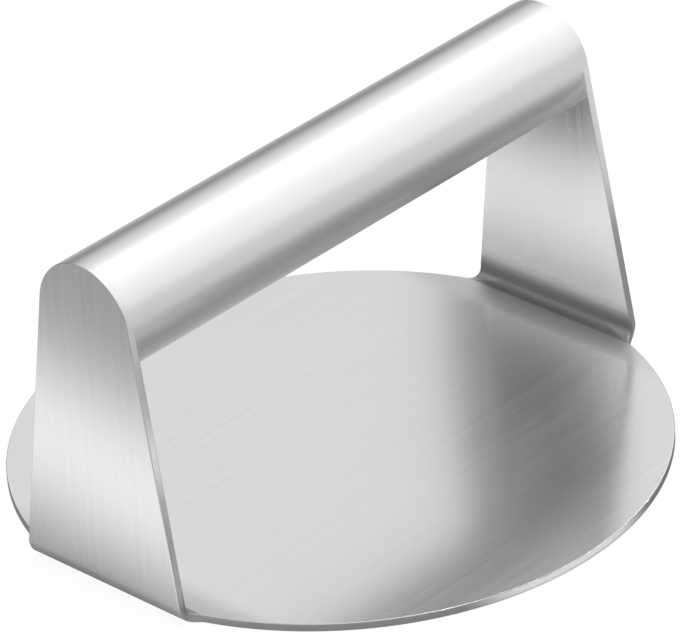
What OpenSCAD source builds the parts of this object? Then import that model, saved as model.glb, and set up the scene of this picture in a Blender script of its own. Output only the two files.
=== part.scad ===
// Burger press: a round stainless plate whose two tabs are folded up into legs,
// with a tube welded across between the tops of the legs as a handle.
// The plate rests on Z = 0, centred on the origin. The handle runs along X.

/* [Plate] */
// Diameter of the round pressing plate
plate_d = 140; // [110:1:170]
// Thickness of the stainless sheet that the plate and both legs are cut from
sheet_t = 1.8; // [1:0.1:3]

/* [Legs] */
// How far inside the plate's edge the fold of each leg starts
fold_inset = 4; // [2:0.25:7]
// Inside radius of the fold at the foot of each leg
fold_r = 2.5; // [1.5:0.25:5]
// Width of a leg where its sides reach the underside of the plate
leg_foot_w = 44.2; // [34:0.2:52]
// Angle by which each leg is folded past square, towards the middle
leg_lean = 1.25; // [0:0.25:4]
// Radius of the hollow corner between a leg's side and the rim of the plate
corner_r = 4; // [1:0.2:5]

/* [Handle] */
// Outside diameter of the handle tube, which the round tops of the legs follow
tube_d = 25; // [20:0.5:32]
// Wall of the handle tube
tube_wall = 1.5; // [1:0.1:3]
// Height of the tube's axis above the underside of the plate
tube_axis_h = 63.2; // [45:0.2:90]

/* [Welds] */
// Part of the tube's wall that stays square and butts against the leg
weld_land = 0.4; // [0.2:0.1:0.8]
// Angle between the leg and the bevel on the tube's end, which the weld fills
weld_angle = 45; // [35:5:55]

/* [Hidden] */
$fn = 128;

// How far a cutting body runs past what it cuts
overrun = 1;
plate_r = plate_d / 2;
tube_r = tube_d / 2;
// A fold starts fold_x from the middle of the plate and ends at the height fold_h
fold_h = fold_r + sheet_t;
fold_x = plate_r - fold_inset;
leg_span = 2 * (fold_x + fold_h);
total_h = tube_axis_h + tube_r;
// A leg's side runs straight from half the foot width up to the round top,
// which it meets at the angle side_angle on the top's circle, counted from +Y
foot_y = leg_foot_w / 2;
side_angle = acos(tube_r / norm([foot_y, tube_axis_h])) - atan2(tube_axis_h, foot_y);
side_top = [tube_r * cos(side_angle), tube_axis_h + tube_r * sin(side_angle)];
// Half the width of a leg at the height where its fold ends
fold_y = foot_y - (foot_y - side_top.x) * fold_h / side_top.y;
// The corner's circle touches both the rim and the leg's side
corner_y = fold_y + corner_r;
corner_x = sqrt(pow(plate_r + corner_r, 2) - pow(corner_y, 2));
rim_share = plate_r / (plate_r + corner_r);
// Where the tube's axis meets the inside face of the right leg
face_x = fold_x + (fold_r - sin(leg_lean) * (tube_axis_h - fold_h)) / cos(leg_lean);
// The bevel runs from the land on the leg's face out past the skin of the tube
bore_r = tube_r - tube_wall;
land_r = bore_r + weld_land;
groove_r = tube_r + overrun;
groove_len = (groove_r - land_r) / tan(weld_angle);

// Draws its children on the right and, mirrored, on the left
module both_ends() {
    children();
    mirror([1, 0, 0]) children();
}

// Section of the folded sheet, seen along Y: floor, folds and legs in one line
module sheet_section() {
    translate([-fold_x, 0]) square([2 * fold_x, sheet_t]);
    both_ends() translate([fold_x, fold_h]) {
        intersection() {
            difference() {
                circle(r = fold_h);
                circle(r = fold_r);
            }
            polygon([
                [0, 0],
                [0, -2 * fold_h],
                [2 * fold_h, -2 * fold_h],
                [2 * fold_h, 2 * fold_h * tan(leg_lean)]
            ]);
        }
        rotate(leg_lean) translate([fold_r, 0]) square([sheet_t, total_h]);
    }
}

// Outline of the plate from above: a disc, with a hollow corner at each leg's side
module plate_outline() {
    circle(r = plate_r);
    both_ends() for (side = [-1, 1]) difference() {
        polygon([
            [0, 0],
            [corner_x * rim_share, side * corner_y * rim_share],
            [corner_x, side * corner_y],
            [corner_x, side * fold_y],
            [corner_x, 0]
        ]);
        translate([corner_x, side * corner_y]) circle(r = corner_r);
    }
}

// Outline of a leg from the end: straight tapering sides that run into a round top
module leg_outline() {
    polygon([
        [-foot_y, 0],
        [foot_y, 0],
        side_top,
        [-side_top.x, side_top.y]
    ]);
    translate([0, tube_axis_h]) circle(r = tube_r);
}

// The blank in its folded form: its section runs along Y and both outlines trim it
module press_plate() color("silver") intersection() {
    rotate([90, 0, 0]) linear_extrude(plate_d + overrun, center = true) sheet_section();
    union() {
        linear_extrude(fold_h) plate_outline();
        rotate([90, 0, 90]) linear_extrude(leg_span + overrun, center = true) leg_outline();
    }
}

// Round bar on the handle's axis
module handle_bar(r, length) {
    translate([0, 0, tube_axis_h]) rotate([0, 90, 0]) cylinder(r = r, h = length, center = true);
}

// Moves its children to the inside face of the right leg, with Z pointing outwards
module on_leg_face() {
    translate([face_x, 0, tube_axis_h]) rotate([0, 90 - leg_lean, 0]) children();
}

// The groove between the bevelled end of the tube and the leg
module weld_groove() on_leg_face() rotate_extrude() polygon([
    [land_r, 0],
    [groove_r, 0],
    [groove_r, -groove_len]
]);

// The tube, cut to the lean of the legs and bevelled at both ends for the welds
module handle_tube() color("gainsboro") difference() {
    handle_bar(tube_r, leg_span);
    handle_bar(bore_r, leg_span + overrun);
    both_ends() {
        weld_groove();
        on_leg_face() cylinder(r = tube_d, h = leg_span);
    }
}

// A ring of weld metal, dressed flush with the tube and with the top of the leg
module weld_right() color("lightgray") intersection() {
    handle_bar(tube_r, leg_span);
    weld_groove();
}

module weld_left() mirror([1, 0, 0]) weld_right();

press_plate();
handle_tube();
weld_left();
weld_right();
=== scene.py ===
# %% [markdown]
# This scene dresses a burger press: a round plate of stainless sheet whose two
# tabs are folded up into legs, with a tube welded between them as a handle.
# The CAD model comes in first, because it says where everything is. Each visible
# piece is then modelled again with softened edges and gets a brushed steel finish.

import math

import bmesh
import bpy
from mathutils import Matrix, Vector, noise


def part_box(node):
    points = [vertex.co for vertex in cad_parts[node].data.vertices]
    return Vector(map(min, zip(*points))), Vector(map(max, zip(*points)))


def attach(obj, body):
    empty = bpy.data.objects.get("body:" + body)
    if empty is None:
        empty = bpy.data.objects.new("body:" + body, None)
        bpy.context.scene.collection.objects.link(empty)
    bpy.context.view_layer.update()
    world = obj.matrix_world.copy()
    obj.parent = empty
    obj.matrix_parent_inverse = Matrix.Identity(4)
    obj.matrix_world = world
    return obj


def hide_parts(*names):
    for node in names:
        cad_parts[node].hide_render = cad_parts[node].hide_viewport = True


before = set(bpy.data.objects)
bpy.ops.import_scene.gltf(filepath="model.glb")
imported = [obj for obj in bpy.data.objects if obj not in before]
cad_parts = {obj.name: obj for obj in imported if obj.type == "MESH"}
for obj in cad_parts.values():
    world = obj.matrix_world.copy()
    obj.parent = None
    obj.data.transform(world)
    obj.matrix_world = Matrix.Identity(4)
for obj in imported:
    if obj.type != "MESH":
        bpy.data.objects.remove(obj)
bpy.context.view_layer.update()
print("CAD nodes:", sorted(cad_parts))

# %% [markdown]
# The sizes that the CAD model can be asked for are read from its nodes. The
# others, such as the sheet's thickness, repeat the sizes that it was made from.
# From these few, every other size is worked out, so the pieces always fit.

# %% Sizes
mm = 0.001
plate_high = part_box("press_plate")[1]
tube_low, tube_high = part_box("handle_tube")
plate_r = plate_high.y
tube_r = (tube_high.z - tube_low.z) / 2
tube_axis_h = (tube_high.z + tube_low.z) / 2
sheet_t = 1.8 * mm
fold_inset = 4 * mm
fold_r = 2.5 * mm
foot_y = 22.1 * mm
corner_r = 4 * mm
leg_lean = math.radians(1.25)
tube_wall = 1.5 * mm
weld_land = 0.4 * mm

fold_h = fold_r + sheet_t
fold_x = plate_r - fold_inset
side_angle = math.acos(tube_r / math.hypot(foot_y, tube_axis_h)) - math.atan2(tube_axis_h, foot_y)
side_top_y = tube_r * math.cos(side_angle)
side_top_z = tube_axis_h + tube_r * math.sin(side_angle)
fold_y = foot_y - (foot_y - side_top_y) * fold_h / side_top_z
corner_y = fold_y + corner_r
corner_x = math.sqrt((plate_r + corner_r) ** 2 - corner_y ** 2)
print(f"plate {2 * plate_r / mm:.1f} mm across, tube {2 * tube_r / mm:.1f} mm across")
print(f"axis of the tube {tube_axis_h / mm:.1f} mm above the plate's underside")

# %% [markdown]
# The camera looks down at the press over its left front, from well away and
# through a long lens, so that near and far edges keep almost the same scale. It
# could be aimed by a constraint, but a tilted frame is easier to say as a matrix:
# three directions for its right, its top and its back, and then its place.

# %% Camera
photo_w = 680
turn = math.radians(-45.158)
height_angle = math.radians(30.491)
tilt = math.radians(-4.041)
distance = 1264.6 * mm
focal_px = 6118.7
aim_height = 31.34 * mm
aim_shift = 1.784 * mm

back = Vector((
    math.sin(turn) * math.cos(height_angle),
    -math.cos(turn) * math.cos(height_angle),
    math.sin(height_angle),
))
level = Vector((math.cos(turn), math.sin(turn), 0))
upright = back.cross(level)
right = math.cos(tilt) * level + math.sin(tilt) * upright
top = back.cross(right)
aim = Vector((0, 0, aim_height)) + aim_shift * right

lens = bpy.data.cameras.new("camera")
lens.sensor_width = 36
lens.lens = focal_px * lens.sensor_width / photo_w
lens.clip_end = 10
camera = bpy.data.objects.new("camera", lens)
facing = Matrix((right, top, back)).transposed().to_4x4()
camera.matrix_world = Matrix.Translation(aim + distance * back) @ facing
bpy.context.scene.collection.objects.link(camera)
bpy.context.scene.camera = camera
print(f"lens {lens.lens:.0f} mm")

# %% [markdown]
# Every piece ends the same way. Its bmesh becomes an object at the origin, its
# faces are smooth shaded, and a weighted normal modifier lets the large flat
# faces keep their own direction, so that only the small bevels look round.

# %% Finish a piece
sharp_angle = math.radians(40)


def add_piece(shape, name, body, node):
    """Turns a bmesh into a piece that rides on a body and stands for a CAD node"""
    mesh = bpy.data.meshes.new(name)
    shape.to_mesh(mesh)
    shape.free()
    mesh.shade_smooth()
    mesh.set_sharp_from_angle(angle=sharp_angle)
    piece = bpy.data.objects.new(name, mesh)
    bpy.context.scene.collection.objects.link(piece)
    normals = piece.modifiers.new("flat faces stay flat", "WEIGHTED_NORMAL")
    normals.keep_sharp = True
    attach(piece, body)
    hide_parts(node)
    print(f"{name}: {len(mesh.polygons)} faces")
    return piece


# %% [markdown]
# On the real press the plate and both legs are one piece of sheet. A disc with two
# boxes set on it would show seams at the folds, so the mesh starts as the workshop
# does, with a flat blank: a disc, cut straight where each leg will fold up. Only
# the outer skin is made for now; the sheet gets its thickness later, when its whole
# shape is there.

# %% Plate blank
rim_steps = 360
skin = bmesh.new()
bmesh.ops.create_circle(skin, cap_ends=True, segments=rim_steps, radius=plate_r)
chords = {}
for side in (1, -1):
    cut = bmesh.ops.bisect_plane(
        skin,
        geom=skin.verts[:] + skin.edges[:] + skin.faces[:],
        plane_co=(side * fold_x, 0, 0),
        plane_no=(side, 0, 0),
        clear_outer=True,
    )
    chords[side] = [part for part in cut["geom_cut"] if isinstance(part, bmesh.types.BMEdge)]
print("chords:", [round(chords[side][0].calc_length() / mm, 2) for side in chords])


# %% [markdown]
# A leg is bent up round a tool, a little past square. Spin does just that: it
# sweeps the straight edge round the centre of the fold. The swept rows are then
# pulled in to the outline of the blank: a hollow corner runs from the rim into
# the side of the leg, so that the sheet can't tear there, and then the leg tapers.

# %% Folds
fold_steps = 24
fold_angle = math.pi / 2 + leg_lean
middle_r = fold_r + sheet_t / 2
rounding = 0.01 * mm


def half_width(x, z):
    """Half the width of the blank where the middle of its sheet is at x and z"""
    if x < corner_x:
        return corner_y - math.sqrt(corner_r ** 2 - (corner_x - x) ** 2)
    return foot_y - (foot_y - side_top_y) * z / side_top_z


feet = {}
for side in (1, -1):
    fold = bmesh.ops.spin(
        skin,
        geom=chords[side],
        cent=(side * fold_x, 0, fold_h),
        axis=(0, -side, 0),
        angle=fold_angle,
        steps=fold_steps,
    )
    feet[side] = [part for part in fold["geom_last"] if isinstance(part, bmesh.types.BMVert)]
for vert in skin.verts:
    past = abs(vert.co.x) - fold_x
    if past > -rounding:
        bend = math.atan2(max(past, 0), fold_h - vert.co.z)
        width = half_width(fold_x + middle_r * math.sin(bend), fold_h - middle_r * math.cos(bend))
        vert.co.y = math.copysign(width, vert.co.y)
print("legs start at", [tuple(round(c / mm, 2) for c in feet[side][0].co) for side in feet])

# %% [markdown]
# The leg itself is one flat face. Its round top is a vertex that is spun round
# the axis of the tube, from one side of the leg over to the other, and pushed
# onto the leaning plane of the leg. Two straight sides close the outline. The top
# could be cut from a larger face with a Boolean, which would leave uneven corners.

# %% Legs
top_steps = 64
leg_x = fold_x + fold_h * math.cos(leg_lean)
leg_z = fold_h + fold_h * math.sin(leg_lean)
for side in (1, -1):
    start = bmesh.ops.create_vert(skin, co=(0, side_top_y, side_top_z))["vert"]
    bmesh.ops.spin(
        skin,
        geom=start,
        cent=(0, 0, tube_axis_h),
        axis=(1, 0, 0),
        angle=math.pi - 2 * side_angle,
        steps=top_steps,
    )
    arc = sorted((v for v in skin.verts if v.co.x == 0 and v.co.z > fold_h), key=lambda v: -v.co.y)
    for vert in arc:
        vert.co.x = side * (leg_x - (vert.co.z - leg_z) * math.tan(leg_lean))
    foot = sorted(feet[side], key=lambda v: -v.co.y)
    skin.edges.new((foot[0], arc[0]))
    skin.edges.new((foot[-1], arc[-1]))
    outline = [e for v in arc + foot for e in v.link_edges if e.is_wire or set(e.verts) == set(foot)]
    bmesh.ops.contextual_create(skin, geom=list(set(outline)))
print("skin:", len(skin.faces), "faces, top at", round(max(v.co.z for v in skin.verts) / mm, 2), "mm")

# %% [markdown]
# Now the sheet gets its thickness, inwards and upwards from the skin. Its cut
# edges are square to the sheet all round, as they are on a real blank, and the
# round tops are ground to the radius of the tube. The edges are then softened
# with a small bevel, which is what catches the light along every edge. Modifiers
# could do both, but the grinding has to come between them.

# %% Sheet thickness and soft edges
edge_r = 0.18 * mm
edge_steps = 3
edge_angle = math.radians(60)

bmesh.ops.recalc_face_normals(skin, faces=skin.faces[:])
floor_face = max(skin.faces, key=lambda face: face.calc_area())
if floor_face.normal.z > 0:
    bmesh.ops.reverse_faces(skin, faces=skin.faces[:])
bmesh.ops.solidify(skin, geom=skin.faces[:], thickness=sheet_t)
for vert in skin.verts:
    height = vert.co.z - tube_axis_h
    if height > 0 and math.hypot(vert.co.y, height) > tube_r - sheet_t:
        grind = tube_r / math.hypot(vert.co.y, height)
        vert.co.y *= grind
        vert.co.z = tube_axis_h + height * grind
sharp = [e for e in skin.edges if e.is_manifold and e.calc_face_angle() > edge_angle]
bmesh.ops.bevel(
    skin,
    geom=sharp,
    offset=edge_r,
    segments=edge_steps,
    profile=0.5,
    affect="EDGES",
    material=-1,
)
open_edges = sum(not e.is_manifold for e in skin.edges)
print(len(sharp), "edges softened,", open_edges, "left open")
plate = add_piece(skin, "brushed_press_plate", "root", "press_plate")

# %% [markdown]
# The handle is a length of tube. It could be a cylinder with another one cut out of
# it, but then every chamfer would need a cut too. Here the section of its wall, with
# a chamfer at each end that leaves room for the weld, is drawn once above the axis
# and spun right round it. The ends are then slid along the axis, inwards above it
# and outwards below, so that they lie on the leaning legs.

# %% Handle tube
tube_steps = 128
cm = 10 * mm
bore_r = tube_r - tube_wall
land_r = bore_r + weld_land
weld_w = tube_r - land_r
face_x = fold_x + (fold_r - math.sin(leg_lean) * (tube_axis_h - fold_h)) / math.cos(leg_lean)


def spin_section(shape, corners, steps):
    """Spins a closed section round the axis; a corner is a place along it and a distance from it"""
    section = [shape.verts.new((x, 0, tube_axis_h + radius)) for x, radius in corners]
    outline = [shape.edges.new((a, b)) for a, b in zip(section, section[1:] + section[:1])]
    bmesh.ops.spin(
        shape,
        geom=outline,
        cent=(0, 0, tube_axis_h),
        axis=(1, 0, 0),
        angle=2 * math.pi,
        steps=steps,
        use_merge=True,
    )


def lean_ends(shape):
    """Slides every vertex along the axis as the legs lean at its height"""
    for vert in shape.verts:
        end = math.copysign(1, vert.co.x)
        vert.co.x -= end * math.tan(leg_lean) * (vert.co.z - tube_axis_h)


tube = bmesh.new()
wall = [
    (-face_x, bore_r),
    (face_x, bore_r),
    (face_x, land_r),
    (face_x - weld_w, tube_r),
    (weld_w - face_x, tube_r),
    (-face_x, land_r),
]
spin_section(tube, wall, tube_steps)
lean_ends(tube)
bmesh.ops.recalc_face_normals(tube, faces=tube.faces[:])
print("steel in the tube:", round(tube.calc_volume() / cm ** 3, 2), "cubic centimetres")
handle = add_piece(tube, "satin_handle_tube", "root", "handle_tube")

# %% [markdown]
# Each weld is a ring that fills the chamfer and is ground flush with the tube. A
# longer tube would hide the joint just as well, but then nothing would hold the
# handle. The ring's section is a triangle, spun as the tube is. The skin of a
# ground weld is never quite even, so a little noise lets it sink by thousandths of
# a millimetre here and there, but never stand proud.

# %% Welds
weld_steps = 192
weld_rows = 4
ripple = 0.008 * mm
ripple_size = 3 * mm
skin_w = weld_w + edge_r
skin_middle = face_x - weld_w + skin_w / 2
for side, name in ((-1, "weld_left"), (1, "weld_right")):
    weld = bmesh.new()
    groove = [
        (side * (face_x - weld_w + skin_w * row / weld_rows), tube_r)
        for row in range(weld_rows + 1)
    ]
    spin_section(weld, groove + [(side * face_x, land_r)], weld_steps)
    for vert in weld.verts:
        radius = math.hypot(vert.co.y, vert.co.z - tube_axis_h)
        if radius > tube_r - ripple:
            from_middle = abs(abs(vert.co.x) - skin_middle) / (skin_w / 2)
            hollow = 0.5 + 0.5 * noise.noise(vert.co / ripple_size)
            sink = ripple * (1 - min(from_middle, 1)) * hollow
            share = (radius - sink) / radius
            vert.co.y *= share
            vert.co.z = tube_axis_h + (vert.co.z - tube_axis_h) * share
    lean_ends(weld)
    bmesh.ops.recalc_face_normals(weld, faces=weld.faces[:])
    add_piece(weld, "dressed_" + name, "root", name)


# %% [markdown]
# Shader maths is easier to read as Python. Value stands for one number that
# varies over a surface, and its operators add the Math nodes. Graph adds any
# other node, from its type, its settings and what goes into its sockets.

# %% Shader helpers
class Value:
    """One output socket, with Python's arithmetic"""

    def __init__(self, graph, socket):
        self.graph = graph
        self.socket = socket

    def out(self, name):
        """Another output of the same node"""
        return Value(self.graph, self.socket.node.outputs[name])

    def __add__(self, other):
        return self.graph.maths("ADD", self, other)

    def __sub__(self, other):
        return self.graph.maths("SUBTRACT", self, other)

    def __rsub__(self, other):
        return self.graph.maths("SUBTRACT", other, self)

    def __mul__(self, other):
        return self.graph.maths("MULTIPLY", self, other)

    def __truediv__(self, other):
        return self.graph.maths("DIVIDE", self, other)

    def __rtruediv__(self, other):
        return self.graph.maths("DIVIDE", other, self)

    __radd__ = __add__
    __rmul__ = __mul__


class Graph:
    """Adds nodes to the node tree of a material or of the world"""

    def __init__(self, tree):
        self.tree = tree
        tree.nodes.clear()

    def add(self, kind, settings=None, inputs=None, output=0):
        """Adds one node; settings come first, then the values or links of its sockets"""
        node = self.tree.nodes.new(kind)
        for name, value in (settings or {}).items():
            setattr(node, name, value)
        for name, value in (inputs or {}).items():
            if isinstance(value, Value):
                self.tree.links.new(value.socket, node.inputs[name])
            else:
                node.inputs[name].default_value = value
        return Value(self, node.outputs[output]) if node.outputs else None

    def maths(self, operation, first, second=0.0):
        """The result of a Math node"""
        return self.add("ShaderNodeMath", {"operation": operation}, {0: first, 1: second})

    def smooth(self, value, start, end, low=0.0, high=1.0):
        """Goes from low to high in a soft curve as value goes from start to end"""
        inputs = {"Value": value, "From Min": start, "From Max": end, "To Min": low, "To Max": high}
        return self.add("ShaderNodeMapRange", {"interpolation_type": "SMOOTHSTEP"}, inputs)

    def vector(self, x, y, z):
        """Three numbers as one vector"""
        return self.add("ShaderNodeCombineXYZ", None, {"X": x, "Y": y, "Z": z})

    def length(self, vector):
        """How long a vector is"""
        return self.add("ShaderNodeVectorMath", {"operation": "LENGTH"}, {0: vector}, output="Value")

    def noise(self, place, scale, detail=2.0):
        """Noise from 0 to 1 with its mean near 0.5"""
        return self.add("ShaderNodeTexNoise", None, {"Vector": place, "Scale": scale, "Detail": detail})

    def tint(self, factor, first, second):
        """A colour between two, by a factor; each is three numbers or another node's colour"""
        first, second = (c if isinstance(c, Value) else (*c, 1) for c in (first, second))
        settings = {"data_type": "RGBA", "clamp_factor": True}
        return self.add("ShaderNodeMix", settings, {0: factor, 6: first, 7: second}, output=2)

    def metal(self, colour, roughness, normal):
        """Ends a material as bare metal"""
        inputs = {"Base Color": colour, "Metallic": 1.0, "Roughness": roughness, "Normal": normal}
        shader = self.add("ShaderNodeBsdfPrincipled", None, inputs)
        self.add("ShaderNodeOutputMaterial", None, {"Surface": shader})


def new_material(name):
    """A new material and the graph that fills it"""
    material = bpy.data.materials.new(name)
    material.use_nodes = True
    return material, Graph(material.node_tree)


# %% [markdown]
# A brushing belt treats some places of the press differently. It can't reach into
# a fold, and barely up to it, so the sheet stays duller there; the inside of each
# fold is also painted dark, which is painted shade in the crease. The rim of the
# plate is rubbed bright in use, and the round tops of the legs are ground together
# with the tube. Painting these places by hand would tie them to one shape, so each
# is a mask instead: a number from 0 to 1, worked out from where a point lies.

# %% Places that the belt treats differently, and the painted shade in the folds
fold_border = 0.3 * mm
fold_climb = 4 * mm
belt_gap = 9 * mm
ground_depth = 0.3 * mm
rubbed_depth = 0.5 * mm
soft_border = 0.1 * mm
top_border = 1 * mm


def fold_masks(g, side, x, z):
    """The inside of a fold, duller and with painted shade, and the plate just beside it"""
    outward = side * x + (z - fold_h) * math.tan(leg_lean)
    leg_face = fold_x + fold_r
    fold_dullness_and_painted_shade = g.smooth(outward, fold_x - fold_border, fold_x + fold_border)
    fold_dullness_and_painted_shade = fold_dullness_and_painted_shade * g.smooth(outward, leg_face + fold_border, leg_face + 3 * fold_border, 1.0, 0.0)
    fold_dullness_and_painted_shade = fold_dullness_and_painted_shade * g.smooth(z, 0.5 * sheet_t, 0.8 * sheet_t)
    fold_dullness_and_painted_shade = fold_dullness_and_painted_shade * g.smooth(z, fold_h, fold_h + fold_climb, 1.0, 0.0)
    by_fold = g.smooth(outward, fold_x - belt_gap, fold_x) * (1.0 - fold_dullness_and_painted_shade)
    by_fold = by_fold * g.smooth(z, sheet_t, 1.5 * sheet_t, 1.0, 0.0)
    return fold_dullness_and_painted_shade, by_fold


def edge_masks(g, x, y, z, cloud):
    """The round tops of the legs, ground with the tube, and the rubbed rim of the plate"""
    from_axis = g.length(g.vector(0.0, y, z - tube_axis_h))
    ground = g.smooth(from_axis, tube_r - ground_depth, tube_r - soft_border)
    ground = ground * g.smooth(z, side_top_z - top_border, side_top_z + top_border)
    from_centre = g.length(g.vector(x, y, 0.0))
    rubbed = g.smooth(from_centre, plate_r - rubbed_depth, plate_r - soft_border)
    rubbed = rubbed * g.smooth(z, sheet_t, 2 * sheet_t, 1.0, 0.0) * g.smooth(cloud, 0.3, 0.6, 0.5, 1.0)
    return ground, rubbed


# %% [markdown]
# Brushed stainless sheet: an abrasive belt leaves fine straight lines along the
# blank before it is folded, so the grain runs along the handle on the plate, and
# on round the folds and up the legs. A picture of brushed steel would need an
# unwrapped mesh. Noise needs only one coordinate that follows the sheet, the
# distance walked along it, and is then stretched along that and squeezed across.

# %% Brushed sheet finish
# Noise cells in a metre, along the sheet and across it
fine_along = 40
fine_across = 4000
broad_along = 12
broad_across = 700
cloud_scale = 45
line_depth = 0.02 * mm


def brushed_sheet():
    material, g = new_material("brushed_sheet")
    place = g.add("ShaderNodeTexCoord", output="Object")
    x = g.add("ShaderNodeSeparateXYZ", None, {0: place})
    y = x.out("Y")
    z = x.out("Z")
    side = g.maths("SIGN", x)
    along = x + side * g.maths("MAXIMUM", z - sheet_t)
    fine = g.noise(g.vector(along * fine_along, y * fine_across, 0.0), 1.0)
    broad = g.noise(g.vector(along * broad_along, y * broad_across, 0.0), 1.0)
    cloud = g.noise(place, cloud_scale, 3.0)
    fold_dullness_and_painted_shade, by_fold = fold_masks(g, side, x, z)
    ground, rubbed = edge_masks(g, x, y, z, cloud)
    height = (0.6 * fine + 0.4 * broad) * (1.0 - ground)
    bump = g.add("ShaderNodeBump", None, {"Strength": 0.15, "Distance": line_depth, "Height": height})
    grain = 0.08 * fine + 0.05 * broad + 0.04 * cloud
    wear = 0.35 * fold_dullness_and_painted_shade + 0.28 * by_fold + 0.17 * ground - 0.06 * rubbed
    lines = g.smooth(0.45 * broad + 0.55 * fine, 0.35, 0.65)
    colour = g.tint(0.8 * lines + 0.2 * cloud, (0.785, 0.785, 0.79), (0.835, 0.835, 0.835))
    # Painted shade: the inside of each fold is tinted down to dark grey, standing in for shade in the
    # crease
    colour = g.tint(0.95 * fold_dullness_and_painted_shade, colour, (0.43, 0.43, 0.43))
    colour = g.tint(0.6 * rubbed, colour, (0.88, 0.88, 0.88))
    g.metal(colour, 0.11 + grain + wear, bump)
    return material


plate.data.materials.append(brushed_sheet())
print("brushed sheet:", len(plate.data.materials[0].node_tree.nodes), "nodes")


# %% [markdown]
# The tube is polished while it turns, so its lines run round it. They are so fine
# and shallow that they blur every reflection along the handle rather than show as
# lines, which is what makes steel look satin. The same noise as on the sheet does
# it, stretched the other way. The welds are polished with the tube, and look alike.

# %% Satin finish
# Noise cells in a metre, along the tube and round it
rings_along = 3000
rings_round = 60
satin_cloud_scale = 60


def satin_tube(name):
    material, g = new_material(name)
    place = g.add("ShaderNodeTexCoord", output="Object")
    x = g.add("ShaderNodeSeparateXYZ", None, {0: place})
    y = x.out("Y")
    z = x.out("Z")
    rings = g.noise(g.vector(x * rings_along, y * rings_round, z * rings_round), 1.0)
    cloud = g.noise(place, satin_cloud_scale, 3.0)
    bump = g.add("ShaderNodeBump", None, {"Strength": 0.06, "Distance": line_depth, "Height": rings})
    colour = g.tint(0.5 * rings + 0.5 * cloud, (0.8, 0.8, 0.8), (0.86, 0.86, 0.86))
    g.metal(colour, 0.31 + 0.06 * rings + 0.05 * cloud, bump)
    return material


handle.data.materials.append(satin_tube("satin_tube"))
for name in ("dressed_weld_left", "dressed_weld_right"):
    bpy.data.objects[name].data.materials.append(satin_tube(name + "_finish"))
print("satin tube:", len(handle.data.materials[0].node_tree.nodes), "nodes")


# %% [markdown]
# The floor is white and catches the shadow of the press. Polished steel shows
# mostly what lies around it, so the floor matters more to the look of the legs
# than the lamp does. Rays that bounce off the steel therefore see it graded, with
# light and shade painted on it: painted shade near by, a painted pool of light to
# the left for the face of the near leg, a painted bright patch in front for its
# side, and a painted bright strip along the front of the rim. Far out on the right
# the floor is lighter again.

# %% Floor
floor_half_w = 2
floor_drop = 0.05 * mm
white_glow = 1.13
glow_share = 0.8
shade_w = 10 * mm
strip_near = 4 * mm
right_start = -60 * mm
right_full = 30 * mm
far_start = 140 * mm
far_full = 200 * mm
pool_x = -104 * mm
pool_core = 2 * mm
pool_edge = 38 * mm
patch_x = 1 * mm
patch_y = -105 * mm
patch_core = 6 * mm
patch_edge = 31 * mm


def add_staged(shape, name, material):
    """Turns a bmesh into a thing of the studio, which is no part of the press"""
    mesh = bpy.data.meshes.new(name)
    shape.to_mesh(mesh)
    shape.free()
    mesh.materials.append(material)
    thing = bpy.data.objects.new(name, mesh)
    bpy.context.scene.collection.objects.link(thing)
    return thing


def reflected_floor(g, place):
    """How bright the steel sees the floor, with painted shade beside the plate and painted pools of
    light
    """
    x = g.add("ShaderNodeSeparateXYZ", None, {0: place})
    y = x.out("Y")
    reach = g.length(place)
    rightward = g.smooth(x, right_start, right_full)
    far = g.smooth(reach, far_start, far_full)
    open_floor = 0.36 + rightward * (0.6 * far - 0.12)
    # Painted shade: within shade_w of the rim the floor is darker, standing in for a shadow beside the
    # plate
    open_floor = open_floor * g.smooth(reach, plate_r, plate_r + shade_w, 0.55, 1.0)
    # Painted light: a bright pool to the left, a bright patch in front and a bright strip along the
    # front of the rim
    off_pool = g.maths("ABSOLUTE", x + 0.1 * y - pool_x)
    painted_light_pool = g.smooth(off_pool, pool_core, pool_edge, 0.86, 0.0)
    off_patch = g.length(g.vector(x - patch_x, y - patch_y, 0.0))
    painted_light_patch = g.smooth(off_patch, patch_core, patch_edge, 1.0, 0.0)
    painted_light_strip = g.smooth(reach, plate_r - 0.5 * mm, plate_r + 1 * mm)
    painted_light_strip = painted_light_strip * g.smooth(reach, plate_r + strip_near, plate_r + shade_w, 0.75, 0.0)
    painted_light_strip = painted_light_strip * g.smooth((-0.06 * x - y) / reach, 0.92, 0.995)
    return open_floor + painted_light_pool + painted_light_patch + painted_light_strip


def floor_finish():
    material, g = new_material("floor")
    place = g.add("ShaderNodeTexCoord", output="Object")
    camera_ray = g.add("ShaderNodeLightPath")
    glossy_ray = camera_ray.out("Is Glossy Ray")
    seen = g.maths("MAXIMUM", camera_ray, glossy_ray)
    shine = white_glow + glossy_ray * (reflected_floor(g, place) - white_glow)
    lit = g.add("ShaderNodeBsdfDiffuse", None, {"Color": (0.85, 0.85, 0.85, 1)})
    glow = g.add("ShaderNodeEmission", None, {"Color": shine, "Strength": 1.0})
    mixed = g.add("ShaderNodeMixShader", None, {0: seen * glow_share, 1: lit, 2: glow})
    g.add("ShaderNodeOutputMaterial", None, {"Surface": mixed})
    return material


floor_shape = bmesh.new()
bmesh.ops.create_grid(floor_shape, x_segments=1, y_segments=1, size=floor_half_w)
bmesh.ops.translate(floor_shape, vec=(0, 0, -floor_drop), verts=floor_shape.verts[:])
floor = add_staged(floor_shape, "floor", floor_finish())
print(f"floor {floor.dimensions.x:.0f} m wide")


# %% [markdown]
# The world is a bright tent that is dark near the horizon. Round panels on it shape
# what the steel shows. A dark one over the back draws the dark line in the folds. A
# dark one over the front narrows the highlight on the handle, and a light one low
# in front lifts the handle's lower half. The far leg shows a light one behind it on
# the left, by way of the plate. A photographed sky would bring its own shapes along.

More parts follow.
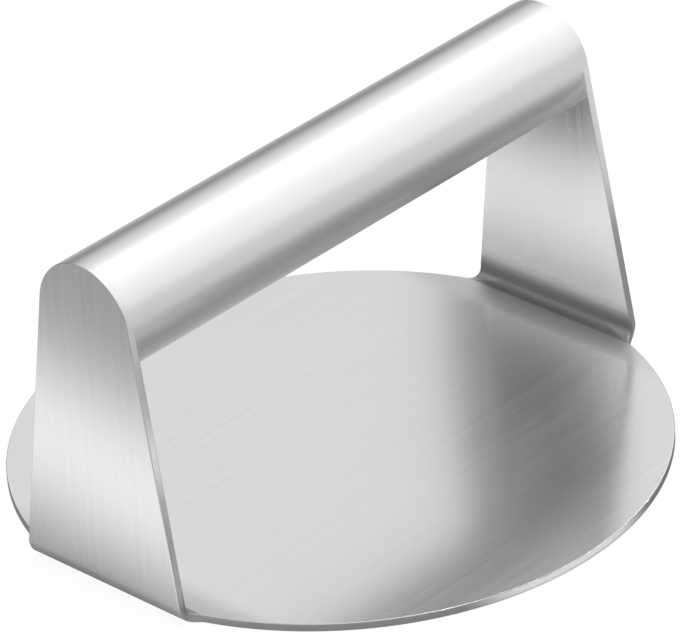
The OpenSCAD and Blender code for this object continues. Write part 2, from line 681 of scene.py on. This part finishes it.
# %% World
def panel(g, direction, toward, inner, outer):
    """1 within the angle inner of a direction, 0 past the angle outer, both in degrees"""
    middle = Vector(toward).normalized()
    settings = {"operation": "DOT_PRODUCT"}
    nearness = g.add("ShaderNodeVectorMath", settings, {0: direction, 1: middle}, output="Value")
    return g.smooth(nearness, math.cos(math.radians(outer)), math.cos(math.radians(inner)))


def tent_world():
    world = bpy.data.worlds.new("studio")
    world.use_nodes = True
    g = Graph(world.node_tree)
    direction = g.add("ShaderNodeTexCoord", output="Generated")
    height = g.add("ShaderNodeSeparateXYZ", None, {0: direction}).out("Z")
    tent = g.smooth(height, 0.24, 0.46, 0.1, 0.87)
    back_dark = panel(g, direction, (-0.15, 0.6, 0.79), 16, 36)
    front_dark = panel(g, direction, (0.61, -0.5, 0.61), 14, 36)
    front_light = panel(g, direction, (0.61, -0.78, 0.1), 8, 24)
    left_light = panel(g, direction, (-0.58, 0.62, 0.53), 4, 15)
    shine = tent - 0.8 * back_dark - 0.52 * front_dark + 0.72 * front_light + left_light
    camera_ray = g.add("ShaderNodeLightPath")
    shine = shine + camera_ray * (1.0 - shine)
    sky = g.add("ShaderNodeBackground", None, {"Color": shine, "Strength": 1.0})
    g.add("ShaderNodeOutputWorld", None, {"Surface": sky})
    return world


bpy.context.scene.world = tent_world()
print("world:", bpy.context.scene.world.name)

# %% [markdown]
# A photographer who shoots polished steel puts black cards where a piece should
# reflect something dark. Two stand to the left behind the press, one over the
# other, with a slot between them. By way of the plate, the far leg sees the tent
# through the slot. By way of the far leg, the plate sees the upper card, which
# is the dark band that runs over the plate towards the front. A grey card lies
# level behind the far leg, and takes that band on past the edge of the leg. The
# band could be painted on the plate, but it would then stay when the view turns.

# %% Dark cards
card_x = -42 * mm
card_near_y = 75 * mm
card_far_y = 150 * mm
cards_foot = 1 * mm
slot_low = 50 * mm
slot_high = 84 * mm
cards_top = 150 * mm
level_l = 130 * mm
level_w = 24 * mm
level_middle = (154 * mm, 96 * mm, 100 * mm)


def dark_card(name, grey, size, turned, middle):
    """A paper card, seen only by rays that bounce off the steel"""
    shape = bmesh.new()
    bmesh.ops.create_grid(shape, x_segments=1, y_segments=1, size=0.5)
    bmesh.ops.scale(shape, vec=(*size, 1), verts=shape.verts[:])
    bmesh.ops.rotate(shape, matrix=turned, verts=shape.verts[:])
    bmesh.ops.translate(shape, vec=middle, verts=shape.verts[:])
    material, g = new_material(name)
    paper = g.add("ShaderNodeBsdfDiffuse", None, {"Color": (grey, grey, grey, 1)})
    g.add("ShaderNodeOutputMaterial", None, {"Surface": paper})
    card = add_staged(shape, name, material)
    card.visible_camera = False
    card.visible_diffuse = False
    card.visible_shadow = False
    print(f"{name}: {size[0] / mm:.0f} by {size[1] / mm:.0f} mm")


def upright_card(name, grey, low, high):
    """A card that stands square to the handle, from one height to another"""
    size = (high - low, card_far_y - card_near_y)
    middle = (card_x, (card_far_y + card_near_y) / 2, (high + low) / 2)
    dark_card(name, grey, size, Matrix.Rotation(math.pi / 2, 3, "Y"), middle)


upright_card("upper_card", 0.2, slot_high, cards_top)
upright_card("lower_card", 0.06, cards_foot, slot_low)
level_turn = Matrix.Rotation(math.radians(45), 3, "Z")
dark_card("level_card", 0.5, (level_l, level_w), level_turn, level_middle)

# %% [markdown]
# The highlight along the handle comes from a large softbox above and in front of
# it. A tube mirrors a ray without changing its share along the tube, so the box
# stands on the far side of the middle by as much as the camera stands on the near
# side. Its light counts where it strikes first and not where the steel throws it
# next, which is what a flag between box and plate does in a studio: otherwise the
# plate would light the handle from below.

# %% Softbox
box_turn = math.radians(112)
box_away = 0.5
along = -back.x
across = math.sqrt(1 - along ** 2)
to_box = Vector((along, across * math.cos(box_turn), across * math.sin(box_turn)))
lamp = bpy.data.lights.new("softbox", "AREA")
lamp.shape = "RECTANGLE"
lamp.size = 0.7
lamp.size_y = 0.75
lamp.energy = 1.24
lamp.cycles.max_bounces = 0
lamp.cycles.use_multiple_importance_sampling = False
softbox = bpy.data.objects.new("softbox", lamp)
softbox.location = Vector((0, 0, tube_axis_h)) + box_away * to_box
softbox.rotation_euler = to_box.to_track_quat("Z", "X").to_euler()
softbox.visible_camera = False
bpy.context.scene.collection.objects.link(softbox)
print("softbox toward", [round(c, 3) for c in to_box])

# %% [markdown]
# The view transform is Standard, so that a white of 1 comes out white and the greys
# of the steel come out as they are.

bpy.context.scene.view_settings.view_transform = "Standard"
